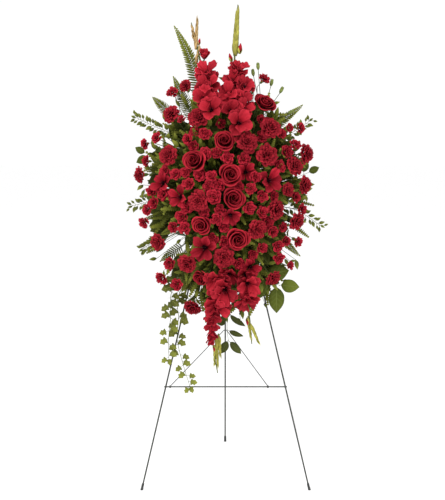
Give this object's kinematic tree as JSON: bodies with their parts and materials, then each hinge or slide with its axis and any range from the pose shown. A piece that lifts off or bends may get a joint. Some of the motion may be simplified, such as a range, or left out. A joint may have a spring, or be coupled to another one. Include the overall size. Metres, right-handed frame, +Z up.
{
  "type": "standing funeral spray",
  "caption": "Red roses, carnations and gladioli with ferns and ivy in a foam-filled tray on a folding wire easel.",
  "frame": {"origin": "middle of the bounding box in X and Y, on the surface that the three feet stand on", "axes": "+X to the right as seen from the front, +Y towards the back leg, +Z up. The flowers face -Y."},
  "size_m": [0.6962, 0.663, 1.7294],
  "materials": {
    "wire": "dull grey-green paint on steel wire",
    "rubber_tips": "matte dark rubber",
    "foam": "wet green floral foam, open-celled",
    "tray": "dark green plastic with a slight sheen",
    "gladioli": "thin scarlet petals, near-black red in the throats",
    "roses": "velvety deep red petals",
    "carnations": "matte crimson petals with ragged rims",
    "star_florets": "thin red petals with dark throats",
    "mini_carnations": "matte cherry red petals",
    "green_buds": "olive green, matte",
    "fern_fronds": "matte mid green, paler tips",
    "leafy_sprigs": "matte dark green",
    "salal_leaves": "leathery green leaves with a slight sheen",
    "ivy_vines": "yellow-green leaves with paler veins"
  },
  "bodies": {
    "stand": {"front_leg_left": "wire", "foot_tip_left": "rubber_tips", "front_leg_right": "wire", "foot_tip_right": "rubber_tips", "crossbar": "wire", "apex_fitting": "wire", "tray": "tray", "tie_wire_upper": "wire", "tie_wire_lower": "wire", "gladiolus_upper_left": "gladioli", "gladiolus_upper_right": "gladioli", "gladiolus_lower_left": "gladioli", "gladiolus_lower_right": "gladioli", "rose_top_right": "roses", "rose_upper_centre": "roses", "rose_left": "roses", "rose_centre": "roses", "rose_middle": "roses", "rose_mid_left": "roses", "rose_low_right": "roses", "rose_low_left": "roses", "carnations_top_left": "carnations", "carnations_top_right": "carnations", "carnations_left": "carnations", "carnations_right_high": "carnations", "carnations_right": "carnations", "carnations_low_right": "carnations", "carnations_low_left": "carnations", "carnation_hanging": "carnations", "star_florets_left": "star_florets", "star_florets_right": "star_florets", "star_florets_low": "star_florets", "minis_top_left": "mini_carnations", "minis_top_right": "mini_carnations", "minis_left": "mini_carnations", "minis_centre": "mini_carnations", "minis_right": "mini_carnations", "minis_low_right": "mini_carnations", "minis_low_left": "mini_carnations", "green_buds": "green_buds", "salal_low_right": "salal_leaves", "salal_low_centre": "salal_leaves", "salal_right": "salal_leaves", "salal_left": "salal_leaves", "fern_top_left": "fern_fronds", "fern_upper_left": "fern_fronds", "fern_right_high": "fern_fronds", "fern_left": "fern_fronds", "fern_low_left": "fern_fronds", "fern_low_right": "fern_fronds", "sprig_left_high": "leafy_sprigs", "sprigs_left": "leafy_sprigs", "sprig_right": "leafy_sprigs", "sprig_right_high": "leafy_sprigs", "ivy_long": "ivy_vines", "ivy_short": "ivy_vines", "foam": "foam"},
    "back_leg": {"back_leg": "wire", "foot_tip_back": "rubber_tips"},
    "brace": {"stay": "wire"}
  },
  "joints": [
    {"name": "back_leg_hinge", "type": "hinge", "parent": "stand", "child": "back_leg", "pos_m": [-0.00522, 0.03647, 1.27902], "axis": [1, 0, 0], "range_deg": [-24, 0]},
    {"name": "brace_hinge", "type": "hinge", "parent": "stand", "child": "brace", "pos_m": [-0.00522, -0.15953, 0.35989], "axis": [1, 0, 0], "range_deg": [0, 55.3]}
  ],
  "couplings": [
    {"joint": "brace_hinge", "follows": "back_leg_hinge", "ratio": -2.3}
  ]
}
